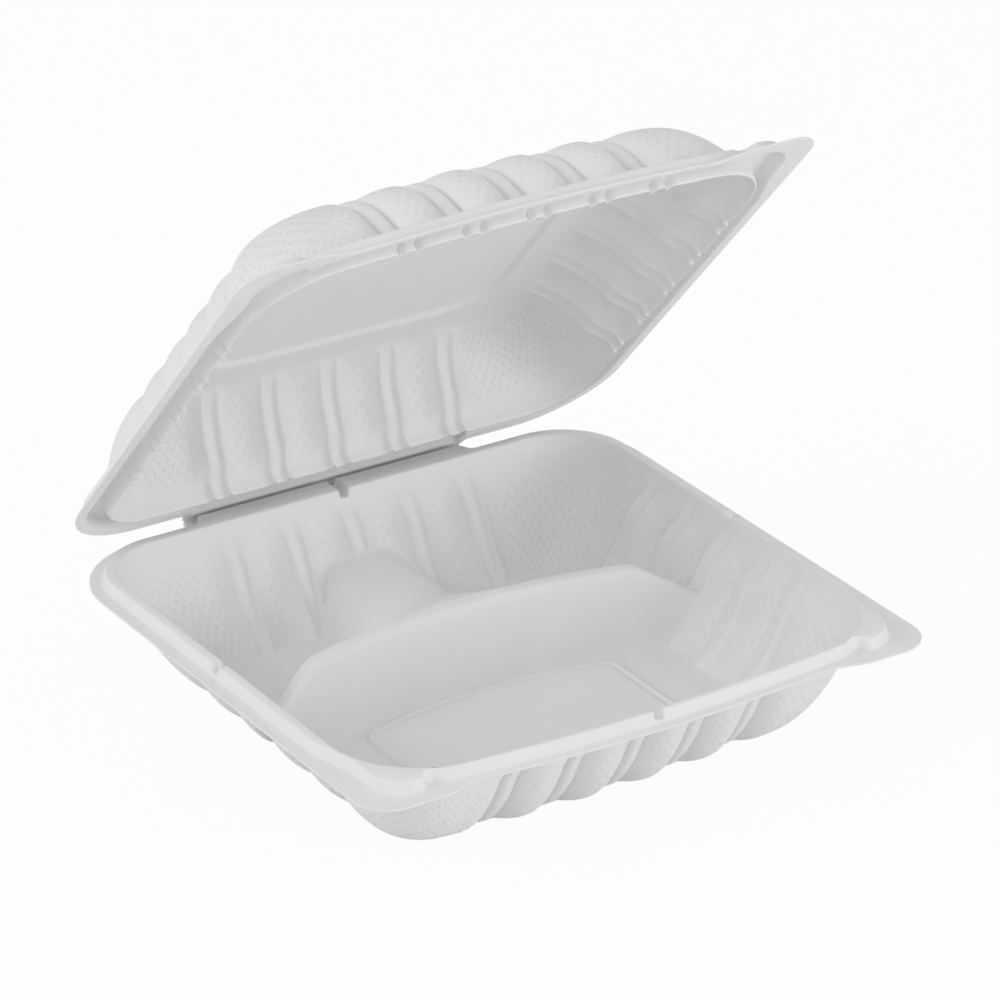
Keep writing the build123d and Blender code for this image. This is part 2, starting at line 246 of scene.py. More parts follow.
def flutes(points):
    """At each point of a plain outline, how far the lobes and the grooves lie inside it, and the grain."""
    lobe, groove = np.zeros(LOOP), np.zeros(LOOP)
    x, s = points[:, 0], points[:, 1] - SIDE_MIDDLE
    block = np.arange(LOOP) // SIDE_BLOCK
    in_corner = np.arange(LOOP) % SIDE_BLOCK >= SIDE_STEPS
    for k in range(4):
        along, pitch = (x, PITCH_X) if k % 2 == 0 else (s, PITCH_Y)
        own = (block == k) & ~in_corner
        near = np.abs((along + pitch * FLUTE_PAIRS / 2) % pitch - pitch / 2)[own]
        share = np.clip((near - PAIR_HALF) / (pitch / 2 - PAIR_HALF), 0, 1)
        lobe[own] = 1 - (1 - share) ** LOBE_POWER
        wide = np.clip(np.abs(near - GROOVE_OFFSET) / GROOVE_HALF, 0, 1)
        groove[own] = 0.5 + 0.5 * np.cos(pi * wide ** GROOVE_POWER)
    past = np.minimum(np.abs(x) - REACH_X, np.abs(s) - REACH_Y)[in_corner]
    past = np.clip(past / (PITCH_X / 2 - PAIR_HALF), 0, 1)
    lobe[in_corner] = 1 - (1 - past) ** LOBE_POWER
    grain = lobe * (groove < GROOVE_TRACE)
    return LOBE_BULGE * (1 - lobe) + LOBE_LEAST, GROOVE_DEPTH * groove, grain


def pushed(points, depth):
    """Points of a closed loop moved inwards by a depth each."""
    ahead = np.roll(points, -1, axis=0) - np.roll(points, 1, axis=0)
    ahead /= np.linalg.norm(ahead, axis=1)[:, None]
    inward = np.column_stack([-ahead[:, 1], ahead[:, 0]])
    return points + inward * np.broadcast_to(depth, len(points))[:, None]


def beside(line, x, y):
    """Distance of places from a closed line, positive inside it."""
    inside = np.zeros(len(x), bool)
    close = np.full(len(x), np.inf)
    for a, b in zip(line, np.roll(line, -1, axis=0)):
        over = (a[1] > y) != (b[1] > y)
        cross = a[0] + (y - a[1]) * (b[0] - a[0]) / (b[1] - a[1] if b[1] != a[1] else 1.0)
        inside ^= over & (x < cross)
        close = np.minimum(close, np.hypot(x - a[0], y - a[1]))
    return np.where(inside, close, -close)


# One face of the sheet, which both halves of the box are made from
GROOVE_THINNING = 0.65
EDGE_CLEAR = 0.9
FILL_EPSILON = 1e-5


class Skin:
    """One face of the sheet: loops from the rim inwards, then a filled middle."""

    def __init__(self):
        self.loops = []
        self.masks = []
        self.drawn = []

    def add(self, points, z, mask=None, drawn=None):
        """Add a loop at a height, with its share of grain and how far it is drawn into the grooves."""
        heights = np.broadcast_to(np.asarray(z, float), (LOOP,))
        self.loops.append(np.column_stack([points, heights]))
        self.masks.append(np.zeros(LOOP) if mask is None else mask)
        self.drawn.append(np.zeros(LOOP) if drawn is None else drawn)

    def fill(self, inner, height):
        """Close the middle with triangles between the last loop and free points."""
        edge = self.loops[-1][:, :2]
        kept = inner[beside(edge, inner[:, 0], inner[:, 1]) > EDGE_CLEAR]
        flat = [Vector(p) for p in np.vstack([edge, kept])]
        ring = [(i, (i + 1) % LOOP) for i in range(LOOP)]
        out = delaunay_2d_cdt(flat, ring, [], 1, FILL_EPSILON)
        source = [o[0] for o in out[3]]
        self.triangles = [[source[i] for i in face] for face in out[2]]
        self.middle = np.column_stack([kept, height(kept[:, 0], kept[:, 1])])

    def points(self):
        """All points, loop by loop, then the middle's."""
        return np.vstack([np.vstack(self.loops), self.middle])

    def thickness(self):
        """The sheet's thickness at every point, thinner where a groove has drawn it out."""
        drawn = np.concatenate([np.concatenate(self.drawn), np.zeros(len(self.middle))])
        return SHEET * (1 - GROOVE_THINNING * drawn ** 0.5)[:, None]

    def faces(self):
        """Faces between the loops, then the middle's triangles."""
        quads = []
        index = np.arange(LOOP)
        after = (index + 1) % LOOP
        for r in range(len(self.loops) - 1):
            a, b = r * LOOP, (r + 1) * LOOP
            quads += np.column_stack([a + index, a + after, b + after, b + index]).tolist()
        start = (len(self.loops) - 1) * LOOP
        return quads + [[start + i for i in t] for t in self.triangles]


# A vent slot crosses the bead in the middle of each side
NOTCH_HALF = 1.7
NOTCH_FLOOR = TRAY_DEPTH + 1.2
NOTCH_FADE = (NOTCH_HALF - 0.35, NOTCH_HALF + 0.45)
RIM_LEAST = 90.0


def notched(points, z):
    """Lower the bead where a vent slot crosses the middle of each side."""
    x, y = np.abs(points[:, 0]), np.abs(points[:, 1])
    off = np.minimum(np.where(x > RIM_LEAST, y, RIM_LEAST), np.where(y > RIM_LEAST, x, RIM_LEAST))
    cut = 1 - smooth(*NOTCH_FADE, off)
    return z - cut * np.maximum(z - NOTCH_FLOOR, 0)


# A bowed fold parts the front basin from the two at the rear, and a lower saddle parts those
FLOOR_SINK = 1.0
DIVIDER_TOP = TRAY_DEPTH - 8.0
DIVIDER_Y = 15.2
DIVIDER_BOW = 248.0
DIVIDER_CREST = 2.0
DIVIDER_FOOT = 11.0
DIVIDER_FLAT = 68.8
DIVIDER_FALL = 0.59
DIVIDER_LIFT = 0.2
DIVIDER_POWER = 0.85
DIVIDER_EASE = 2.5
SADDLE_TOP = TRAY_DEPTH - 17.0
SADDLE_FOOT = 25.0
SADDLE_FAN = 26.0
SADDLE_FAN_POWER = 1.5
SADDLE_WAIST = 46.0
SADDLE_DROP = 0.8
SADDLE_POWERS = (2.2, 0.6)
NO_SADDLE = -20.0
FOLD_FILLET = 4.0
FLOOR_FILLET = 3.0


def rounded_max(a, b, k):
    """The larger of two heights, with a hollow fillet of about k where they meet."""
    t = np.clip(0.5 + 0.5 * (b - a) / k, 0, 1)
    return a + (b - a) * t + k * t * (1 - t)


def softer(t):
    """An even change from 0 to 1 that starts and ends without a kink."""
    t = np.clip(t, 0, 1)
    return t * t * t * (t * (6 * t - 15) + 10)


def divider_arc(x, y):
    """Distance of a place behind the bowed crest line of the divider."""
    return np.hypot(x, y - DIVIDER_Y + DIVIDER_BOW) - DIVIDER_BOW


def divider_height(x, y):
    """Height of the bowed fold and the saddle behind it, which part the three basins."""
    off = rounded_max(np.abs(x) - DIVIDER_FLAT, np.zeros_like(x), DIVIDER_EASE)
    top = DIVIDER_TOP + DIVIDER_LIFT - DIVIDER_FALL * off
    flank = np.clip((np.abs(divider_arc(x, y)) - DIVIDER_CREST) / (DIVIDER_FOOT - DIVIDER_CREST), 0, 1)
    cross = top - (DIVIDER_TOP - SHEET + FLOOR_SINK) * softer(flank ** DIVIDER_POWER)
    near = softer((SADDLE_WAIST - y) / (SADDLE_WAIST - DIVIDER_Y))
    ridge = SADDLE_TOP + (DIVIDER_TOP - SADDLE_TOP - SADDLE_DROP) * near
    side = np.clip(np.abs(x) / (SADDLE_FOOT + SADDLE_FAN * near ** SADDLE_FAN_POWER), 0, 1)
    dome = 1 - (1 - side ** SADDLE_POWERS[0]) ** SADDLE_POWERS[1]
    back = ridge - (ridge - SHEET + FLOOR_SINK) * dome
    back = np.where(divider_arc(x, y) > 0, back, NO_SADDLE)
    return rounded_max(cross, back, FOLD_FILLET)


# The front basin's floor has a raised field with a fine groove just inside its edge
PANEL_RISE = 1.9
PANEL_EDGE = 0.55
PANEL_MARGIN = 2.6
PANEL_GROOVE = 0.9
PANEL_GROOVE_SHARPNESS = 1.6
PANEL_LINE_STRIDE = 8
panel_corners = [
    (54.0, -60.0, 7.0), (54.0, -4.0, 7.0), (0.0, 10.0, 187.0), (-54.0, -4.0, 7.0), (-54.0, -60.0, 7.0),
]
panel_line = traced(panel_corners)[0][::PANEL_LINE_STRIDE]


def tray_height(x, y):
    """Height of the upper face of the floor with its raised field and the folds."""
    within = beside(panel_line, x, y)
    lift = PANEL_RISE * softer(within / (2 * PANEL_EDGE) + 0.5)
    off_groove = np.abs(within - PANEL_MARGIN) / PANEL_MARGIN
    lift -= PANEL_GROOVE * (1 - softer(off_groove * PANEL_GROOVE_SHARPNESS))
    return rounded_max(SHEET + lift, divider_height(x, y), FLOOR_FILLET)


# The tray's upper face: flange and bead, then the lip, each row a distance inwards and a height
FLANGE_ROUND = 0.12
FLANGE_LAND = 0.6
FLANGE_LOOPS = 3
BEAD_ROWS = (
    (-1.1, 0.0), (-0.55, 0.05), (-0.15, 0.28), (0.05, 0.75), (0.45, 2.4), (0.8, 3.7), (1.0, 4.12),
    (1.2, 4.38), (1.5, BEAD_RISE),
)
LIP_ROWS = ((-0.9, 0.0), (-0.45, 0.08), (-0.1, 0.4), (0.15, 0.95), (0.5, 2.0), (0.9, 3.2), (1.15, 4.0))
tray = Skin()
bead_loop = loop(mirrored(bead_corners))
flange_loop = loop(mirrored(flange_corners), shares_beside(mirrored(flange_corners), bead_loop))
tray_shares = shares_beside(wall_corners(TRAY, LIP_ROWS[0][0]), bead_loop)
tray.add(flange_loop, TRAY_DEPTH - FLANGE_ROUND)
tray.add(pushed(flange_loop, FLANGE_ROUND), TRAY_DEPTH)
tray.add(pushed(flange_loop, FLANGE_LAND), TRAY_DEPTH)
for d, rise in BEAD_ROWS:
    ring = pushed(bead_loop, d)
    tray.add(ring, notched(ring, np.full(LOOP, TRAY_DEPTH + rise)))
for d, fall in LIP_ROWS:
    ring = loop(wall_corners(TRAY, d), tray_shares)
    tray.add(ring, notched(ring, np.full(LOOP, BEAD_TOP - fall)))

# The tray's wall is a curve from the lip down to the floor, and its flutes fade in and out along it
WALL_STEPS = 26
TRAY_CURVE = ((1.3, TRAY_DEPTH), (10.4, 10.3), (23.9, 1.0), (TRAY.lean, SHEET))
TRAY_LOBE_IN = (0.0, 0.16)
TRAY_LOBE_OUT = (0.6, 1.0)
TRAY_LOBE_LOSS = 0.45
TRAY_GROOVE_IN = (0.02, 0.09)
TRAY_GROOVE_OUT = (0.5, 0.95)
TRAY_GRAIN_IN = (0.05, 0.16)
TRAY_GRAIN_OUT = (0.78, 0.9)
FOLD_CLEAR = (0.3, 2.5)


def curve_point(u, points):
    """A place on the curve with four given points, from the first at u = 0 to the last at u = 1."""
    shares = ((1 - u) ** 3, 3 * u * (1 - u) ** 2, 3 * u * u * (1 - u), u ** 3)
    return sum(share * np.array(point) for share, point in zip(shares, points))


for i in range(WALL_STEPS + 1):
    u = i / WALL_STEPS
    d, z = curve_point(u, TRAY_CURVE)
    ring = loop(wall_corners(TRAY, d), tray_shares)
    lobes, grooves, grain = flutes(ring)
    lobes = lobes * smooth(*TRAY_LOBE_IN, u) * (1 - TRAY_LOBE_LOSS * smooth(*TRAY_LOBE_OUT, u))
    grooves = grooves * smooth(*TRAY_GROOVE_IN, u) * (1 - smooth(*TRAY_GROOVE_OUT, u))
    ring = pushed(ring, lobes + grooves)
    lifted = rounded_max(np.full(LOOP, z), divider_height(ring[:, 0], ring[:, 1]), FOLD_FILLET)
    clear = 1 - smooth(*FOLD_CLEAR, lifted - z)
    grain = grain * smooth(*TRAY_GRAIN_IN, u) * (1 - smooth(*TRAY_GRAIN_OUT, u)) * clear
    tray.add(ring, lifted, grain, grooves / GROOVE_DEPTH)

# Free points for the floor: an open grid, and close rows along the raised field's edge and the divider
FREE_HALF_X = 80.0
FREE_FRONT = -86.0
FREE_REAR = 74.0
FREE_END = 0.1
TRAY_GRID = 1.6
PANEL_BAND = (1.4, 3.4)
PANEL_ROWS = (-1.5, -0.55, -0.3, 0.0, 0.3, 0.55, 1.1, 1.7, 2.15, 2.6, 3.05, 3.5, 4.1)
PANEL_STRIDE = 38
DIVIDER_BAND = DIVIDER_FOOT + 2.5
DIVIDER_REACH = 84.0
DIVIDER_STEP = 1.5
DIVIDER_ROWS = (
    0, 1.2, 2.0, 2.6, 3.2, 3.8, 4.4, 5.0, 5.6, 6.2, 6.8, 7.4, 8.0, 8.7, 9.5, 10.4, 11.4, 12.6,
)
LEAST_RADIUS = 0.3


def free_grid(step):
    """Staggered places over the floor, a step apart."""
    x = np.arange(-FREE_HALF_X, FREE_HALF_X + FREE_END, step)
    y = np.arange(FREE_FRONT, FREE_REAR + FREE_END, step)
    x, y = np.meshgrid(x, y)
    x = x + step / 2 * (np.round(y / step) % 2)
    return np.column_stack([x.ravel(), y.ravel()])


def inset(corners, d):
    """Move every side of an anticlockwise outline inwards by d."""
    n = len(corners)
    lines = []
    for i in range(n):
        (ax, ay, _), (bx, by, _) = corners[i], corners[(i + 1) % n]
        length = hypot(bx - ax, by - ay)
        ux, uy = (bx - ax) / length, (by - ay) / length
        lines.append((ax - uy * d, ay + ux * d, ux, uy))
    moved = []
    for i in range(n):
        (px, py, ux, uy), (qx, qy, vx, vy) = lines[i - 1], lines[i]
        turn = ux * vy - uy * vx
        k = ((qx - px) * vy - (qy - py) * vx) / turn
        r = corners[i][2] - d if turn > 0 else corners[i][2] + d
        moved.append((px + ux * k, py + uy * k, max(r, LEAST_RADIUS)))
    return moved


free = free_grid(TRAY_GRID)
free = free[np.abs(beside(panel_line, free[:, 0], free[:, 1]) - PANEL_BAND[0]) > PANEL_BAND[1]]
free = free[np.abs(divider_arc(free[:, 0], free[:, 1])) > DIVIDER_BAND]
for d in PANEL_ROWS:
    free = np.vstack([free, traced(inset(panel_corners, d))[0][::PANEL_STRIDE]])
turn = np.arange(-DIVIDER_REACH, DIVIDER_REACH + FREE_END, DIVIDER_STEP) / DIVIDER_BOW
for off in DIVIDER_ROWS:
    for r in {DIVIDER_BOW - off, DIVIDER_BOW + off}:
        row = np.column_stack([r * np.sin(turn), DIVIDER_Y - DIVIDER_BOW + r * np.cos(turn)])
        free = np.vstack([free, row])
tray.fill(free, tray_height)

# The lower face follows the upper one, a sheet's thickness away
TINY = 1e-12


def normals(points, faces):
    """Normals at the points of a mesh, pointing to the side that its faces turn to."""
    out = np.zeros_like(points)
    for count in (3, 4):
        some = np.array([f for f in faces if len(f) == count])
        n = np.cross(points[some[:, 2]] - points[some[:, 0]], points[some[:, -1]] - points[some[:, 1]])
        for i in range(count):
            np.add.at(out, some[:, i], n)
    return out / np.maximum(np.linalg.norm(out, axis=1), TINY)[:, None]


def wall_places(skin):
    """Distance round the wall, distance down it and share of grain, for every point of a skin."""
    line = skin.loops[len(skin.loops) // 2]
    step = np.linalg.norm(np.roll(line, -1, axis=0) - line, axis=1)
    run = np.concatenate([[0], np.cumsum(step)[:-1]])
    run = np.minimum(run, step.sum() - run)
    down = [np.zeros(LOOP)]
    for a, b in zip(skin.loops, skin.loops[1:]):
        down.append(down[-1] + np.linalg.norm(b - a, axis=1))
    around = np.concatenate([np.tile(run, len(skin.loops)), skin.middle[:, 0]])
    up = np.concatenate([np.concatenate(down), skin.middle[:, 1]])
    grain = np.concatenate([np.concatenate(skin.masks), np.zeros(len(skin.middle))])
    return around, up, grain


def sheet_mesh(name, points, faces, around, up, grain):
    """A smooth mesh in metres, with the wall's place and share of grain kept on its points."""
    mesh = bpy.data.meshes.new(name)
    mesh.from_pydata((points * MM).tolist(), [], faces)
    mesh.validate()
    place = mesh.attributes.new("wall_place", "FLOAT_VECTOR", "POINT")
    place.data.foreach_set("vector", np.column_stack([around, up, grain]).astype(np.float32).ravel())
    mesh.shade_smooth()
    mesh.update()
    obj = bpy.data.objects.new(name, mesh)
    bpy.context.scene.collection.objects.link(obj)
    return obj


upper = tray.points()
faces = tray.faces()
turned = normals(upper, faces)
turned[:FLANGE_LOOPS * LOOP] = (0, 0, 1)
lower = upper - tray.thickness() * turned
lower[:LOOP, 2] = TRAY_DEPTH - SHEET + FLANGE_ROUND
half = len(upper)
under = [[half + i for i in reversed(f)] for f in faces]
index = np.arange(LOOP)
after = (index + 1) % LOOP
rim = np.column_stack([after, index, half + index, half + after]).tolist()
places = [np.tile(values, 2) for values in wall_places(tray)]
base_shell = sheet_mesh("base_tray_shell", np.vstack([upper, lower]), faces + under + rim, *places)


class Shade:
    """A shader socket that takes part in sums; each sum adds its Math node."""

    def __init__(self, tree, socket):
        self.tree = tree
        self.socket = socket

    def node(self, kind, settings=None, out=0, **inputs):
        """Add a node with its settings, then the values or links of its sockets, by name or as i0, i1."""
        node = self.tree.nodes.new(kind)
        for key, value in (settings or {}).items():
            setattr(node, key, value)
        for key, value in inputs.items():
            numbered = key[0] == "i" and key[1:].isdigit()
            socket = node.inputs[int(key[1:]) if numbered else key]
            if isinstance(value, Shade):
                self.tree.links.new(value.socket, socket)
            else:
                socket.default_value = value
        return Shade(self.tree, node.outputs[out]) if node.outputs else None

    def math(self, operation, *values):
        """Add a Math node for an operation on values or sockets."""
        inputs = {"i%d" % i: value for i, value in enumerate(values)}
        return self.node("ShaderNodeMath", {"operation": operation}, **inputs)

    def __add__(self, other):
        return self.math("ADD", self, other)

    def __radd__(self, other):
        return self.math("ADD", other, self)

    def __sub__(self, other):
        return self.math("SUBTRACT", self, other)

    def __rsub__(self, other):
        return self.math("SUBTRACT", other, self)

    def __mul__(self, other):
        return self.math("MULTIPLY", self, other)

    def __rmul__(self, other):
        return self.math("MULTIPLY", other, self)


# The sheet's finish, in millimetres on the walls and in noise scales elsewhere
SHEET_TINTS = ((0.85, 0.85, 0.855, 1), (0.89, 0.89, 0.895, 1))
GRAIN_ACROSS = 2.1
GRAIN_DOWN = 2.9
GRAIN_LEAST = 0.3
GRAIN_DEPTH = 0.3
# How much painted shade darkens the colour in the small dents on the lobes
DENT_PAINTED_SHADE = 0.8
CLOUD_SCALE = 55.0
CLOUD_DETAIL = 3.0
SATIN_SCALE = 1400.0
SATIN_DETAIL = 2.0
SATIN_HEIGHT = 0.012
ROUGH = 0.42
ROUGH_CLOUD = 0.14
ROUGH_SATIN = 0.04
SPECULAR = 0.42


def white_polypropylene(name, tints):
    """Satin white filled plastic with staggered small dents on the lobes, painted shade in those dents, and
    a faint cloudiness.
    """
    material = bpy.data.materials.new(name)
    material.use_nodes = True
    tree = material.node_tree
    tree.nodes.clear()
    start = Shade(tree, None)
    place = start.node("ShaderNodeAttribute", {"attribute_name": "wall_place"}, out=1)
    split = place.node("ShaderNodeSeparateXYZ", Vector=place)
    around, down, grain = (Shade(tree, split.socket.node.outputs[k]) for k in range(3))
    waves = split.math("SINE", around * (pi / GRAIN_ACROSS)) * split.math("SINE", down * (pi / GRAIN_DOWN))
    dents = split.math("MAXIMUM", waves - GRAIN_LEAST, 0.0) * grain
    spot = start.node("ShaderNodeTexCoord", out=3)
    cloud = spot.node("ShaderNodeTexNoise", Vector=spot, Scale=CLOUD_SCALE, Detail=CLOUD_DETAIL)
    satin = spot.node("ShaderNodeTexNoise", Vector=spot, Scale=SATIN_SCALE, Detail=SATIN_DETAIL)
    height = (satin - 0.5) * SATIN_HEIGHT - dents * GRAIN_DEPTH
    bump = spot.node("ShaderNodeBump", Height=height, Strength=1.0, Distance=MM)
    # Random cloudy tone, plus painted shade that darkens the colour in the small dents
    cloud_and_painted_shade = cloud - dents * DENT_PAINTED_SHADE
    colour = cloud.node("ShaderNodeMix", {"data_type": "RGBA"}, out=2, i0=cloud_and_painted_shade, i6=tints[0], i7=tints[1])
    rough = ROUGH + cloud * ROUGH_CLOUD + satin * ROUGH_SATIN
    sockets = {"Base Color": colour, "Roughness": rough, "Normal": bump, "Specular IOR Level": SPECULAR}
    shader = cloud.node("ShaderNodeBsdfPrincipled", **sockets)
    shader.node("ShaderNodeOutputMaterial", Surface=shader)
    return material


sheet_white = white_polypropylene("white_polypropylene", SHEET_TINTS)
base_shell.data.materials.append(sheet_white)
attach(base_shell, "base")
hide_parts("base_tray")

# Lid
# The upper half of the same sheet, drawn deep with the same flutes and a raised field on its crown.
# Its rim has a channel that snaps over the tray's bead, and it swings on the hinge fold.
SHEET_GAP = 0.3
LID_BASE = TRAY_DEPTH + SHEET_GAP
LID_CROWN = LID_BASE + 32.7
HINGE_Y = 112.7
HINGE_Z = TRAY_DEPTH + SHEET_GAP / 2
OPEN_ANGLE = 47.6
LID = Wall(half_x=104.7, rear=94.1, front=100.5, near=33.5, far=23.5, lean=27.0, foot=15.6)

# The lid's inner face: flange and channel, then the hanging lip with a dent at each groove
CHANNEL_RISE = 4.8
CHANNEL_ROWS = (
    (-1.3, 0.0), (-0.85, 0.06), (-0.45, 0.3), (-0.25, 0.8), (0.2, 2.6), (0.5, 4.0), (0.8, 4.55),
    (1.5, CHANNEL_RISE),
)
HANGING_LIP_ROWS = (
    (-1.6, CHANNEL_RISE), (-1.0, 4.5), (-0.78, 3.6), (-0.74, 2.4), (-0.68, 1.4), (-0.6, 0.4), (-0.5, -0.5),
    (-0.38, -1.2), (-0.15, -1.55), (0.1, -1.6), (0.3, -1.3), (0.4, -0.5), (0.45, 0.5), (0.48, 1.4),
)
DENT_FADE = (1.6, 3.4)
lid_shares = shares_beside(wall_corners(LID, HANGING_LIP_ROWS[0][0]), bead_loop)
inner = Skin()
inner.add(flange_loop, LID_BASE + FLANGE_ROUND)
inner.add(pushed(flange_loop, FLANGE_ROUND), LID_BASE)
inner.add(pushed(flange_loop, FLANGE_LAND), LID_BASE)
for d, rise in CHANNEL_ROWS:
    inner.add(pushed(bead_loop, d), LID_BASE + rise)
for d, rise in HANGING_LIP_ROWS:
    ring = loop(wall_corners(LID, d), lid_shares)
    dent = 1.0 if d > 0 else 1 - smooth(*DENT_FADE, rise)
    inner.add(pushed(ring, flutes(ring)[1] * dent), LID_BASE + rise)
first_wall = len(inner.loops)

# The lid's wall is a curve from the lip up to the crown
LID_CURVE = (
    (0.5, LID_BASE + 2.1), (6.8, LID_BASE + 22.4), (16.4, LID_CROWN - SHEET - 0.5),
    (LID.lean, LID_CROWN - SHEET),
)
LID_LOBE_IN = (0.0, 0.14)
LID_LOBE_OUT = (0.65, 1.0)
LID_LOBE_LOSS = 0.4
LID_GROOVE_OUT = (0.6, 0.95)
LID_GRAIN_IN = (0.04, 0.14)
LID_GRAIN_OUT = (0.72, 0.86)
for i in range(WALL_STEPS + 1):
    u = i / WALL_STEPS
    d, z = curve_point(u, LID_CURVE)
    ring = loop(wall_corners(LID, d), lid_shares)
    lobes, grooves, grain = flutes(ring)
    lobes = lobes * smooth(*LID_LOBE_IN, u) * (1 - LID_LOBE_LOSS * smooth(*LID_LOBE_OUT, u))
    grooves = grooves * (1 - smooth(*LID_GROOVE_OUT, u))
    grain = grain * smooth(*LID_GRAIN_IN, u) * (1 - smooth(*LID_GRAIN_OUT, u))
    inner.add(pushed(ring, lobes + grooves), z, grain, grooves / GROOVE_DEPTH)

# The crown has a raised field with rounded corners
CROWN_GRID = 2.2
FIELD_X = 63.0
FIELD_Y = 52.0
FIELD_RADIUS = 22.0
FIELD_RISE = 2.0
FIELD_FADE = (-1.0, 1.6)
FIELD_TRACE = 0.002
FIELD_ROWS = (-1.9, -1.25, -0.75, -0.3, 0.1, 0.6, 1.2)
FIELD_STRIDE = 36


def crown_lift(x, y):
    """How far the raised field lifts the crown at each place."""
    qx = np.abs(x) - FIELD_X + FIELD_RADIUS
    qy = np.abs(y) - FIELD_Y + FIELD_RADIUS
    out = np.hypot(np.maximum(qx, 0), np.maximum(qy, 0)) + np.minimum(np.maximum(qx, qy), 0)
    return FIELD_RISE * (1 - smooth(*FIELD_FADE, out - FIELD_RADIUS))


def crown_height(x, y):
    """Height of the inner face of the crown, as the lid lies closed."""
    return LID_CROWN - SHEET + crown_lift(x, y)


free = free_grid(CROWN_GRID)
lift = crown_lift(free[:, 0], free[:, 1])
free = free[(lift < FIELD_TRACE) | (lift > FIELD_RISE - FIELD_TRACE)]
for d in FIELD_ROWS:
    x, y, r = FIELD_X - d, FIELD_Y - d, FIELD_RADIUS - d
    field_line = traced([(x, y, r), (-x, y, r), (-x, -y, r), (x, -y, r)])[0]
    free = np.vstack([free, field_line[::FIELD_STRIDE]])
inner.fill(free, crown_height)

# The lid's outer face: the channel's back, then the wall and crown a sheet's thickness away
CHANNEL_BACK_ROWS = (
    (-1.7, 0.0), (-1.4, 0.07), (-1.15, 0.35), (-0.95, 0.9), (-0.5, 2.6), (-0.2, 3.9), (0.1, 4.5),
    (0.5, 4.75), (1.2, CHANNEL_RISE),
)
SEAT_INSET = -1.3
SEAT_STEP = 0.4
SEAT_TOP = LID_BASE + SHEET + CHANNEL_RISE
outer = Skin()
outer.add(inner.loops[0][:, :2], LID_BASE + SHEET - FLANGE_ROUND)
outer.add(inner.loops[1][:, :2], LID_BASE + SHEET)
outer.add(inner.loops[2][:, :2], LID_BASE + SHEET)
for d, rise in CHANNEL_BACK_ROWS:
    outer.add(pushed(bead_loop, d), LID_BASE + SHEET + rise)
outer.add(loop(wall_corners(LID, SEAT_INSET), lid_shares), SEAT_TOP)
inside = inner.points()
inside_faces = inner.faces()
away = normals(inside, inside_faces)
skinned = inside + inner.thickness() * away * np.sign(away[-1][2])
for r in range(first_wall, len(inner.loops)):
    ring = skinned[r * LOOP:(r + 1) * LOOP]
    if ring[:, 2].min() > SEAT_TOP + SEAT_STEP:
        outer.add(ring[:, :2], ring[:, 2], inner.masks[r])
outer.triangles = inner.triangles
outer.middle = skinned[len(inner.loops) * LOOP:]


def swung(points, angle):
    """Points turned about the hinge line, as the lid opens."""
    c, s = cos(radians(angle)), sin(radians(angle))
    y, z = points[:, 1] - HINGE_Y, points[:, 2] - HINGE_Z
    return np.column_stack([points[:, 0], HINGE_Y + y * c + z * s, HINGE_Z - y * s + z * c])


half = len(inside)
outside_faces = [[half + i for i in f] for f in outer.faces()]
inside_faces = [list(reversed(f)) for f in inside_faces]
rim = np.column_stack([index, after, half + after, half + index]).tolist()
places = [np.concatenate(pair) for pair in zip(wall_places(inner), wall_places(outer))]
lid_points = swung(np.vstack([inside, outer.points()]), OPEN_ANGLE)
lid_shell = sheet_mesh("lid_shell", lid_points, inside_faces + outside_faces + rim, *places)
lid_shell.data.materials.append(sheet_white)
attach(lid_shell, "lid")
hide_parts("lid")

# Hinge web
# The fold between tray and lid: the same sheet pressed thin along a line, so that it bends easily.
# It joins the two straight strips at the rear and turns with the lid.
WEB_HALF = 60.0
WEB_PLACES = 61
WEB_THICK = 0.3
WEB_LAP = 1.2
WEB_INSET = 0.25
WEB_STEPS = 16
strip_y = (HINGE_Y - WEB_INSET - WEB_LAP, HINGE_Y - WEB_INSET)
web_start, web_first = np.array([(y, TRAY_DEPTH - SHEET / 2) for y in strip_y])
web_end, web_last = swung(np.array([(0, y, LID_BASE + SHEET / 2) for y in strip_y]), OPEN_ANGLE)[:, 1:]
web_curve = (web_start, web_first, web_last, web_end)
path = np.array([curve_point(k / WEB_STEPS, web_curve) for k in range(WEB_STEPS + 1)])
ahead = np.gradient(path, axis=0)
ahead /= np.linalg.norm(ahead, axis=1)[:, None]
sideways = np.column_stack([-ahead[:, 1], ahead[:, 0]]) * WEB_THICK / 2
section = np.vstack([path + sideways, (path - sideways)[::-1]])
count = len(section)
across = np.linspace(-WEB_HALF, WEB_HALF, WEB_PLACES)
web_points = np.array([(x, y, z) for x in across for y, z in section])
web_faces = []
for i in range(WEB_PLACES - 1):
    for k in range(count):
        a, b = i * count + k, i * count + (k + 1) % count
        web_faces.append([a, b, b + count, a + count])
web_faces.append(list(reversed(range(count))))
web_faces.append([(WEB_PLACES - 1) * count + k for k in range(count)])
smooth_web = np.zeros(len(web_points))
hinge_web = sheet_mesh("hinge_web", web_points, web_faces, smooth_web, smooth_web, smooth_web)
hinge_web.data.materials.append(sheet_white)
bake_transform(hinge_web)

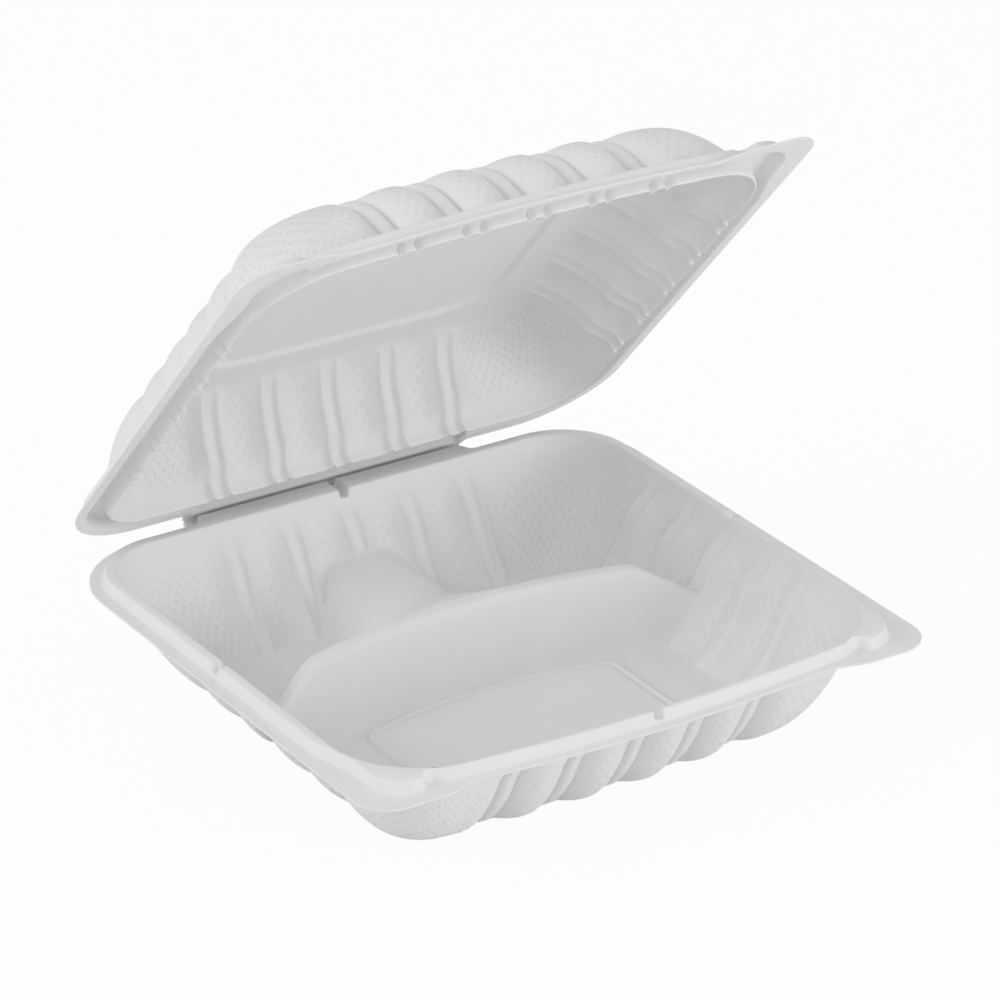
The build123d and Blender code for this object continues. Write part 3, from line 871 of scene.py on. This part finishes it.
# Studio floor
# A white sweep of paper under the box, wide enough to fill the view.
# It glows a plain white where the camera sees it, and a small matte share keeps the box's shadow.
FLOOR_HALF = 6.0
FLOOR_GLOW = 0.94
PAPER_GREY = (0.9, 0.9, 0.9, 1)
WHITE = (1, 1, 1, 1)
floor_corners = [(x * FLOOR_HALF, y * FLOOR_HALF, 0) for x, y in ((-1, -1), (1, -1), (1, 1), (-1, 1))]
floor_mesh = bpy.data.meshes.new("studio_floor")
floor_mesh.from_pydata(floor_corners, [], [[0, 1, 2, 3]])
studio_floor = bpy.data.objects.new("studio_floor", floor_mesh)
bpy.context.scene.collection.objects.link(studio_floor)
paper = bpy.data.materials.new("floor_paper")
paper.use_nodes = True
paper.node_tree.nodes.clear()
rays = Shade(paper.node_tree, None).node("ShaderNodeLightPath")
ray_names = ("Is Camera Ray", "Is Glossy Ray", "Is Transmission Ray")
camera_ray, glossy_ray, clear_ray = (Shade(paper.node_tree, rays.socket.node.outputs[n]) for n in ray_names)
seen = rays.math("MINIMUM", camera_ray + glossy_ray + clear_ray, 1.0) * FLOOR_GLOW
matte = rays.node("ShaderNodeBsdfDiffuse", Color=PAPER_GREY)
glow = rays.node("ShaderNodeEmission", Color=WHITE, Strength=1.0)
both = rays.node("ShaderNodeMixShader", i0=seen, i1=matte, i2=glow)
both.node("ShaderNodeOutputMaterial", Surface=both)
floor_mesh.materials.append(paper)

# Studio light
# Three round soft boxes in an even white room. The brightest stands low at the front right,
# and the other two light the box from its left, one in front and one beside the lid.
ROOM_STRENGTH = 0.63
BOX_MIDDLE = (0.0, 0.0, 0.06)
SOFT_BOXES = (
    ("soft_box_right", (1.2, -1.9, 0.5), 1.0, 10.5),
    ("soft_box_left", (-1.2, -1.3, 1.5), 1.1, 3.0),
    ("soft_box_side", (-1.6, 0.3, 0.9), 0.9, 6.0),
)
world = bpy.data.worlds.new("studio_room")
bpy.context.scene.world = world
world.use_nodes = True
background = world.node_tree.nodes["Background"]
background.inputs["Color"].default_value = WHITE
background.inputs["Strength"].default_value = ROOM_STRENGTH
for name, place, size, watts in SOFT_BOXES:
    lamp = bpy.data.lights.new(name, "AREA")
    lamp.shape = "DISK"
    lamp.size = size
    lamp.energy = watts
    soft_box = bpy.data.objects.new(name, lamp)
    soft_box.location = place
    soft_box.rotation_euler = (Vector(BOX_MIDDLE) - Vector(place)).to_track_quat("-Z", "Y").to_euler()
    bpy.context.scene.collection.objects.link(soft_box)

# Camera
# A long lens at the photograph's angle, in front of the box, to its left and above it.
# The render keeps its colours as they are written.
SENSOR = 36.0
LENS = 180.07
CAMERA_PLACE = (-0.8667, -1.3519, 0.8591)
LOOK_DOWN = 25.885
LOOK_RIGHT = 32.88
camera = bpy.data.cameras.new("camera")
camera.sensor_width = SENSOR
camera.lens = LENS
view = bpy.data.objects.new("camera", camera)
view.location = CAMERA_PLACE
view.rotation_euler = (radians(90 - LOOK_DOWN), 0.0, radians(-LOOK_RIGHT))
bpy.context.scene.collection.objects.link(view)
bpy.context.scene.camera = view
bpy.context.scene.view_settings.view_transform = "Standard"
